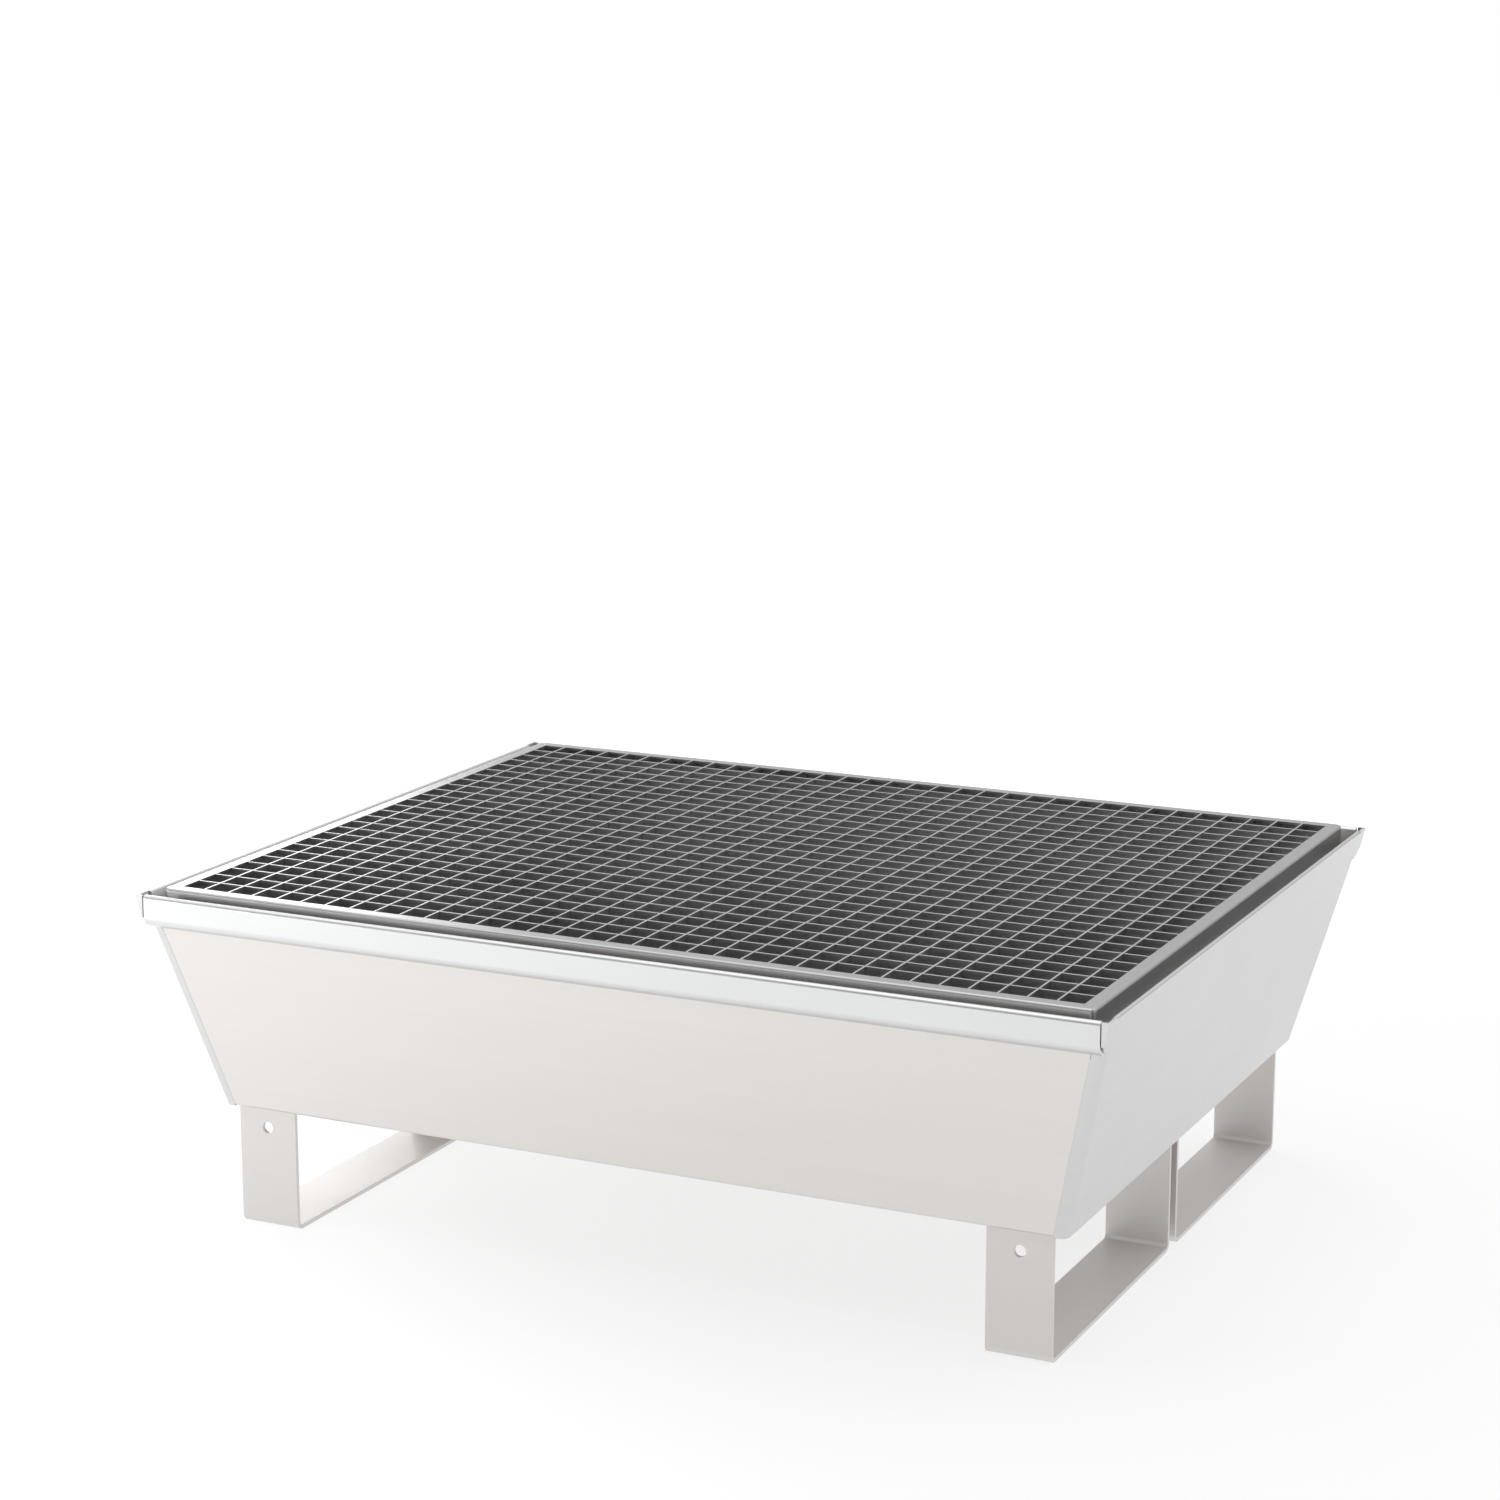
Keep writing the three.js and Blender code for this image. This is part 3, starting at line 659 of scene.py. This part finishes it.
def frame_loop(sizes):
    """All four sides of the grating's frame: an upright plate with a flange turned in at the top."""
    half_plate = sizes.frame_plate / 2
    half_x, half_y = FRAME_X - half_plate, FRAME_Y - half_plate
    mesh = bmesh.new()
    bmesh.ops.create_grid(mesh, x_segments=1, y_segments=1, size=1)
    bmesh.ops.scale(mesh, verts=mesh.verts, vec=(half_x, half_y, 1))
    bmesh.ops.translate(mesh, verts=mesh.verts, vec=(0, 0, GRATING_BOTTOM))
    bmesh.ops.bevel(mesh, geom=mesh.verts[:], offset=sizes.frame_corner, offset_type="OFFSET",
                    segments=CORNER_STEPS, profile=0.5, affect="VERTICES", material=-1)
    plate = bmesh.ops.extrude_edge_only(mesh, edges=mesh.edges[:])
    rise = GRATING_TOP - half_plate - GRATING_BOTTOM
    bmesh.ops.translate(mesh, verts=new_verts(plate), vec=(0, 0, rise))
    top = [edge for edge in new_edges(plate)
           if all(vert.co.z > GRATING_BOTTOM + rise / 2 for vert in edge.verts)]
    flange = bmesh.ops.extrude_edge_only(mesh, edges=top)
    inner_x = FRAME_X - (FRAME_Y - FRAME_INNER_Y)
    for vert in new_verts(flange):
        vert.co.x = math.copysign(min(abs(vert.co.x), inner_x), vert.co.x)
        vert.co.y = math.copysign(min(abs(vert.co.y), FRAME_INNER_Y), vert.co.y)
    bmesh.ops.delete(mesh, geom=[face for face in mesh.faces if len(face.verts) > 4], context="FACES_ONLY")
    bmesh.ops.remove_doubles(mesh, verts=mesh.verts, dist=MERGE)
    mesh.normal_update()
    fold = [edge for edge in mesh.edges if edge.is_manifold and edge.calc_face_angle() > FLANGE_FOLD]
    round_fold(mesh, fold, sizes.frame_bend, FLANGE_STEPS)
    return mesh


def frame_side(sizes, outward):
    """One side of the frame, cut from the whole at its two mitres."""
    mesh = frame_loop(sizes)
    outward = Vector(outward)
    along = Vector((-outward.y, outward.x, 0))
    reach = Vector((FRAME_X, FRAME_Y, 0))
    for end in (along, -along):
        corner = Vector(((outward + end).x * reach.x, (outward + end).y * reach.y, 0))
        normal = (end - outward).normalized()
        trim(mesh, lambda face: True, corner - normal * MITRE_GAP, normal)
    return mesh


def bar_mesh(half_span, inner_half, low_z, high_z, thickness, ledge):
    """A flat bar on edge along y whose top is let in under the frame's flange at both ends."""
    outline = [
        (-half_span, low_z), (half_span, low_z), (half_span, ledge), (inner_half, ledge),
        (inner_half, high_z), (-inner_half, high_z), (-inner_half, ledge), (-half_span, ledge),
    ]
    mesh = bmesh.new()
    side = mesh.faces.new([mesh.verts.new((-thickness / 2, y, z)) for y, z in outline])
    pushed = bmesh.ops.extrude_face_region(mesh, geom=[side])
    bmesh.ops.translate(mesh, verts=new_verts(pushed), vec=(thickness, 0, 0))
    top = edges_where(mesh, lambda co: co.z > high_z - TINY)
    long_top = [edge for edge in top if edge.calc_length() > inner_half]
    bmesh.ops.bevel(mesh, geom=long_top, offset=thickness * BAR_CHAMFER, offset_type="OFFSET", segments=2,
                    profile=0.5, affect="EDGES", material=-1)
    return mesh


# ---------------------------------------------------------------- operators

# Roughness of each finish whose gloss isn't the sheet's
RAIL_GLOSS = 0.42
STRAP_GLOSS = 0.50
WELD_GLOSS = 0.45
SEAM_GLOSS = 0.42
FRAME_GLOSS = 0.36
BEARING_BAR_GLOSS = 0.36
CROSS_BAR_GLOSS = 0.40

STRAP_METAL = 0.65           # the feet's dull skin takes the rest
WELD_GRAIN_DEPTH = 0.0001


class BuildSump(bpy.types.Operator):
    """Folded sheet of the sump and its two end walls"""
    bl_idname = "pallet.sump"
    bl_label = "Sump"

    def execute(self, context):
        sizes, finishes = context.scene.pallet_sizes, context.scene.pallet_finishes
        sheet = steel("sheet_steel_long", finishes.wall_tint, finishes.gloss, 0)
        # The lips take a copy of the sheet steel whose cooler tint is a painted reflection.
        lips = steel("sheet_steel_lips", finishes.lip_reflection_tint, finishes.gloss, 0)
        # The end walls and their ears take a copy of the sheet steel whose darker tint is painted shade.
        ends = steel("sheet_steel_ends", finishes.end_shade_tint, finishes.gloss, 1)
        add_piece("sump_sheet", trough_mesh(sizes), [sheet, lips], SUMP, ["sump_trough"],
                  sizes.sheet, EDGE_ROUND)
        for end, sign in ENDS.items():
            mesh = turned(end_wall_mesh(sizes), 0 if sign > 0 else math.pi)
            add_piece(f"end_sheet_{end}", mesh, [ends], SUMP, [f"end_wall_{end}"],
                      sizes.sheet, EDGE_ROUND)
            for side, y_sign in SIDES.items():
                mesh = turned(ear_return_mesh(sizes, y_sign * sign), 0 if sign > 0 else math.pi)
                add_piece(f"ear_return_{side}_{end}", mesh, [ends], SUMP, edge=EDGE_ROUND)
        return {"FINISHED"}


class BuildRails(bpy.types.Operator):
    """Angles inside the sump that carry the grating"""
    bl_idname = "pallet.rails"
    bl_label = "Support rails"

    def execute(self, context):
        sizes, finishes = context.scene.pallet_sizes, context.scene.pallet_finishes
        along_x = steel("rail_steel_long", finishes.rail_tint, RAIL_GLOSS, 0)
        along_y = steel("rail_steel_ends", finishes.rail_tint, RAIL_GLOSS, 1)
        for side, sign in SIDES.items():
            mesh = rail_mesh(sizes, wall_mid_y, wall_slope(sizes), RAIL_LOW, RAIL_HIGH, RAIL_HIGH.x)
            add_piece(f"rail_{side}", turned(mesh, 0 if sign > 0 else math.pi), [along_x], SUMP,
                      [f"support_rail_{side}"], sizes.rail_plate, EDGE_ROUND)
        low = Vector((0, END_RAIL_LOW.x, END_RAIL_LOW.z))
        for end, sign in ENDS.items():
            mesh = rail_mesh(sizes, end_mid_x, end_slope(sizes), low, END_RAIL_HIGH, END_RAIL_HIGH.y)
            add_piece(f"rail_{end}", turned(mesh, -sign * math.pi / 2), [along_y], SUMP,
                      [f"support_rail_{end}"], sizes.rail_plate, EDGE_ROUND)
        return {"FINISHED"}


class BuildFeet(bpy.types.Operator):
    """Four bent straps"""
    bl_idname = "pallet.feet"
    bl_label = "Feet"

    def execute(self, context):
        sizes, finishes = context.scene.pallet_sizes, context.scene.pallet_finishes
        strap = steel("strap_steel", finishes.strap_tint, STRAP_GLOSS, 1, metallic=STRAP_METAL)
        middle_x = (FOOT_LOW.x + FOOT_HIGH.x) / 2
        for end, x_sign in ENDS.items():
            for side, y_sign in SIDES.items():
                mesh = foot_mesh(sizes)
                if y_sign > 0:
                    turned(mesh, math.pi)
                    bmesh.ops.translate(mesh, verts=mesh.verts, vec=(2 * middle_x, 0, 0))
                if x_sign < 0:
                    bmesh.ops.translate(mesh, verts=mesh.verts, vec=(-2 * middle_x, 0, 0))
                add_piece(f"foot_{side}_{end}_strap", mesh, [strap], SUMP,
                          [f"foot_{side}_{end}"], sizes.strap, EDGE_ROUND)
        return {"FINISHED"}


SEAM_RADIUS = 0.0013
SEAM_RIPPLE = 0.03
SEAM_PITCH = 0.006
SEAM_SUNK = 0.0008           # how deep a corner seam's middle lies under the wall's face
SEAM_FOOT = 0.003            # from the underside to a corner seam's lower end
SEAM_HEAD = 0.014            # from the lip's lower corner down to its upper end
FLOOR_BEAD = 0.0025          # radius of the welds at the floor's ends
FOOT_BEAD = 0.0028           # radius of the welds at the feet
FOOT_BEAD_INSET = 0.004      # from a strap's edges to the ends of its welds


class BuildWelds(bpy.types.Operator):
    """Weld seams of the corners, the ends and the feet"""
    bl_idname = "pallet.welds"
    bl_label = "Welds"

    def execute(self, context):
        sizes, finishes = context.scene.pallet_sizes, context.scene.pallet_finishes
        weld = steel("weld_steel", finishes.weld_tint, WELD_GLOSS, 2, WELD_GRAIN_DEPTH)
        # The corner seams take the end walls' darker tint, which is painted shade.
        seam = steel("seam_steel", finishes.end_shade_tint, SEAM_GLOSS, 2)
        for end, x_sign in ENDS.items():
            for side, y_sign in SIDES.items():
                mesh = bmesh.new()
                points = []
                for z in (BASE_Z + SEAM_FOOT, RIM_Z - sizes.lip_height - SEAM_HEAD):
                    x = end_mid_x(sizes, z) - sizes.corner_return - WELD_GAP / 2
                    y = wall_mid_y(sizes, z) + sizes.sheet / 2 - SEAM_SUNK
                    points.append((x_sign * x, y_sign * y, z))
                weld_bead(mesh, *points, SEAM_RADIUS, ripple=SEAM_RIPPLE, pitch=SEAM_PITCH)
                add_piece(f"corner_seam_{side}_{end}", mesh, [seam], SUMP)
            mesh = bmesh.new()
            inside_x = end_mid_x(sizes, BASE_Z) - sizes.sheet / 2
            reach = wall_mid_y(sizes, BASE_Z) - sizes.sheet
            z = BASE_Z + sizes.sheet
            weld_bead(mesh, (x_sign * inside_x, -reach, z), (x_sign * inside_x, reach, z), FLOOR_BEAD)
            add_piece(f"floor_weld_{end}", mesh, [weld], SUMP)
            for side, y_sign in SIDES.items():
                mesh = bmesh.new()
                for y in (FOOT_LOW.y + sizes.strap, FOOT_HIGH.y - sizes.strap):
                    start = (x_sign * (FOOT_LOW.x + FOOT_BEAD_INSET), -y_sign * y, FOOT_HIGH.z)
                    finish = (x_sign * (FOOT_HIGH.x - FOOT_BEAD_INSET), -y_sign * y, FOOT_HIGH.z)
                    weld_bead(mesh, start, finish, FOOT_BEAD)
                add_piece(f"foot_weld_{side}_{end}", mesh, [weld], SUMP)
        return {"FINISHED"}


class BuildFrame(bpy.types.Operator):
    """Angle frame of the grating, mitred at its corners"""
    bl_idname = "pallet.grating_frame"
    bl_label = "Grating frame"

    def execute(self, context):
        sizes, finishes = context.scene.pallet_sizes, context.scene.pallet_finishes
        along_x = steel("frame_steel_long", finishes.frame_tint, FRAME_GLOSS, 0)
        along_y = steel("frame_steel_ends", finishes.frame_tint, FRAME_GLOSS, 1)
        outward = {"front": (0, -1, 0), "back": (0, 1, 0), "left": (-1, 0, 0), "right": (1, 0, 0)}
        for side, direction in outward.items():
            material = along_x if side in SIDES else along_y
            add_piece(f"frame_{side}", frame_side(sizes, direction), [material], GRATING,
                      [f"grating_frame_{side}"], sizes.frame_plate, EDGE_ROUND)
        return {"FINISHED"}


ROW_DIGITS = 4           # rows are told apart by their y, rounded to this many decimals


class BuildBars(bpy.types.Operator):
    """Bearing bars from front to back and the cross bars let into them"""
    bl_idname = "pallet.bars"
    bl_label = "Grating bars"

    def execute(self, context):
        sizes, finishes = context.scene.pallet_sizes, context.scene.pallet_finishes
        bearing = steel("bar_steel_bearing", finishes.bar_tint, BEARING_BAR_GLOSS, 1)
        cross = steel("bar_steel_cross", finishes.bar_tint, CROSS_BAR_GLOSS, 0)
        thickness = BAR_HIGH.x - BAR_LOW.x
        flange = FRAME_Y - FRAME_INNER_Y
        ledge = GRATING_TOP - sizes.frame_plate - WELD_GAP
        for name in BEARING_BARS:
            mesh = bar_mesh(BAR_HIGH.y, FRAME_INNER_Y - WELD_GAP, BAR_LOW.z, GRATING_TOP, thickness, ledge)
            bmesh.ops.translate(mesh, verts=mesh.verts, vec=(middle_of(name).x, 0, 0))
            piece = name.replace("bearing_bar", "grating_bar")
            add_piece(piece, mesh, [bearing], GRATING, [name])

        # Each row of cross bars stands for the solid that lies in it, if one does.
        solid_rows = {round(middle_of(name).y, ROW_DIGITS): name for name in CROSS_BARS}
        first, second = sorted(solid_rows)[:2]
        pitch = (second - first) / sizes.cross_bar_step
        each_side = int((2 * FRAME_INNER_Y - pitch) / 2 / pitch)
        cross_thickness = CROSS_HIGH.y - CROSS_LOW.y
        for row in range(-each_side, each_side + 1):
            mesh = bar_mesh(CROSS_HIGH.x, FRAME_X - flange - WELD_GAP, CROSS_LOW.z,
                            GRATING_TOP - sizes.cross_bar_drop, cross_thickness, ledge)
            turned(mesh, math.pi / 2)
            bmesh.ops.translate(mesh, verts=mesh.verts, vec=(0, row * pitch, 0))
            solid = solid_rows.get(round(row * pitch, ROW_DIGITS))
            add_piece(f"cross_row_{row + each_side + 1:02d}", mesh, [cross], GRATING,
                      [solid] if solid else ())
        return {"FINISHED"}


FLOOR_RADIUS = 60.0
FLOOR_SIDES = 96
SENSOR_WIDTH = 36
CLIP_END = 200
LIGHTS = {               # where each stands, what it faces, its side, and the setting of its power
    "key_light": ((0.3, -0.6, 4.5), (0, 0, 0), 6.0, "key"),
    "window_light": ((-3.4, -2.9, 0.4), (-0.4, -0.5, 0.1), 1.6, "window"),
    "back_light": ((-5.2, 5.0, 1.9), (0, 0, 0.5), 2.6, "rim"),
}

# The world's brightness goes from horizon to sky between these heights of a direction. Towards the front
# it is dimmed, fully up to the first of these depths and not at all from the second.
HORIZON_HEIGHT, SKY_HEIGHT = 0.1, 0.9
DIM_DEPTH, LIT_DEPTH = -0.8, -0.1


class SetStage(bpy.types.Operator):
    """Pale floor, soft lights and the camera"""
    bl_idname = "pallet.stage"
    bl_label = "Stage"

    def execute(self, context):
        scene = context.scene
        finishes, studio = scene.pallet_finishes, scene.pallet_studio
        scene.view_settings.view_transform = "Standard"
        self.add_floor(scene, finishes)
        self.add_camera(scene, studio)
        self.add_world(scene, studio)
        for name, (place, target, size, setting) in LIGHTS.items():
            self.add_area(scene, name, place, target, size, getattr(studio, setting))
        return {"FINISHED"}

    def add_floor(self, scene, finishes):
        mesh = bmesh.new()
        bmesh.ops.create_circle(mesh, cap_ends=True, segments=FLOOR_SIDES, radius=FLOOR_RADIUS)
        data = bpy.data.meshes.new("studio_floor")
        mesh.to_mesh(data)
        mesh.free()
        floor = bpy.data.objects.new("studio_floor", data)
        scene.collection.objects.link(floor)
        data.materials.append(floor_paint(finishes))

    def add_camera(self, scene, studio):
        camera = bpy.data.cameras.new("camera")
        camera.lens = studio.lens
        camera.sensor_width = SENSOR_WIDTH
        camera.clip_end = CLIP_END
        holder = bpy.data.objects.new("camera", camera)
        holder.location = studio.camera_place
        holder.rotation_euler = (math.pi / 2 - studio.camera_tilt, 0, studio.camera_turn)
        scene.collection.objects.link(holder)
        scene.camera = holder

    def add_world(self, scene, studio):
        """White to the camera; for light and reflections, brightest overhead and dim behind the camera."""
        world = bpy.data.worlds.new("studio")
        world.use_nodes = True
        tree = world.node_tree
        tree.nodes.clear()
        start = Shade(tree)
        direction = start.node("ShaderNodeTexCoord", output="Generated")
        height = direction.node("ShaderNodeSeparateXYZ", {}, {"Vector": direction}, "Z")
        rise = height.node("ShaderNodeMapRange", {}, {
            "Value": height, "From Min": HORIZON_HEIGHT, "From Max": SKY_HEIGHT,
            "To Min": studio.horizon, "To Max": studio.sky,
        })
        depth = direction.node("ShaderNodeSeparateXYZ", {}, {"Vector": direction}, "Y")
        dim = depth.node("ShaderNodeMapRange", {"interpolation_type": "SMOOTHSTEP"}, {
            "Value": depth, "From Min": DIM_DEPTH, "From Max": LIT_DEPTH,
            "To Min": studio.front, "To Max": 1.0,
        })
        lit = start.node("ShaderNodeBackground", {}, {"Color": (1, 1, 1, 1), "Strength": rise * dim})
        seen = start.node("ShaderNodeBackground", {}, {"Color": (1, 1, 1, 1), "Strength": 1.0})
        camera_ray = start.node("ShaderNodeLightPath", output="Is Camera Ray")
        mix = start.node("ShaderNodeMixShader", {}, {0: camera_ray, 1: lit, 2: seen})
        mix.node("ShaderNodeOutputWorld", {}, {"Surface": mix})
        scene.world = world

    def add_area(self, scene, name, place, target, size, watts):
        light = bpy.data.lights.new(name, "AREA")
        light.shape = "SQUARE"
        light.size = size
        light.energy = watts
        holder = bpy.data.objects.new(name, light)
        holder.location = place
        holder.rotation_euler = (Vector(target) - Vector(place)).to_track_quat("-Z", "Y").to_euler()
        holder.visible_camera = False
        scene.collection.objects.link(holder)


# The floor's glow is dimmed round this centre as a painted shadow: fully within the first distance, and not
# at all beyond the second.
PAINTED_SHADOW_CENTRE = (0.9, 0.15, 0.0)
PAINTED_SHADOW_NEAR, PAINTED_SHADOW_FAR = 0.9, 2.4       # from that centre, in metres
FLOOR_CLOUDS = 0.6                   # scale of its faint clouds, per metre
FLOOR_VARIATION = 0.02
FLOOR_ROUGHNESS = 0.9


def floor_paint(finishes):
    """A plain pale floor that glows a little, so that shadows on it stay faint, with a painted shadow round
    the pallet where its glow is dimmed.
    """
    material = bpy.data.materials.new("studio_floor")
    material.use_nodes = True
    tree = material.node_tree
    tree.nodes.clear()
    place = Shade(tree).node("ShaderNodeTexCoord", output="Object")
    base = place.noise(FLOOR_CLOUDS).between(tinted(finishes.floor_tint, 1 - FLOOR_VARIATION),
                                             tinted(finishes.floor_tint, 1 + FLOOR_VARIATION))
    reach = place.node("ShaderNodeVectorMath", {"operation": "DISTANCE"}, {0: place, 1: PAINTED_SHADOW_CENTRE}, "Value")
    far = reach.node("ShaderNodeMapRange", {"interpolation_type": "SMOOTHSTEP"},
                     {"Value": reach, "From Min": PAINTED_SHADOW_NEAR, "From Max": PAINTED_SHADOW_FAR})
    # The share of the glow left in the painted shadow near the pallet.
    painted_shadow_share = finishes.shaded_floor_glow / finishes.far_glow
    shader = place.node("ShaderNodeBsdfPrincipled", {}, {
        "Base Color": base, "Roughness": FLOOR_ROUGHNESS, "Specular IOR Level": 0.0,
        "Emission Color": far.between((painted_shadow_share,) * 3, (1, 1, 1)), "Emission Strength": finishes.far_glow,
    })
    place.node("ShaderNodeOutputMaterial", {}, {"Surface": shader})
    return material


BUILDERS = (BuildSump, BuildRails, BuildFeet, BuildWelds, BuildFrame, BuildBars, SetStage)


class PalletPanel(bpy.types.Panel):
    """Lists the builders and what they read"""
    bl_idname = "VIEW3D_PT_pallet"
    bl_label = "Spill pallet"
    bl_space_type = "VIEW_3D"
    bl_region_type = "UI"
    bl_category = "Pallet"

    def draw(self, context):
        for builder in BUILDERS:
            self.layout.operator(builder.bl_idname)
        for group in (context.scene.pallet_sizes, context.scene.pallet_finishes, context.scene.pallet_studio):
            box = self.layout.box()
            for name in group.__annotations__:
                box.prop(group, name)


CLASSES = (PalletSizes, PalletFinishes, PalletStudio, *BUILDERS, PalletPanel)


def register():
    for entry in CLASSES:
        bpy.utils.register_class(entry)
    bpy.types.Scene.pallet_sizes = PointerProperty(type=PalletSizes)
    bpy.types.Scene.pallet_finishes = PointerProperty(type=PalletFinishes)
    bpy.types.Scene.pallet_studio = PointerProperty(type=PalletStudio)


def unregister():
    del bpy.types.Scene.pallet_studio
    del bpy.types.Scene.pallet_finishes
    del bpy.types.Scene.pallet_sizes
    for entry in reversed(CLASSES):
        bpy.utils.unregister_class(entry)


def main():
    register()
    for builder in BUILDERS:
        group, name = builder.bl_idname.split(".")
        getattr(getattr(bpy.ops, group), name)()


if __name__ == "__main__":
    main()
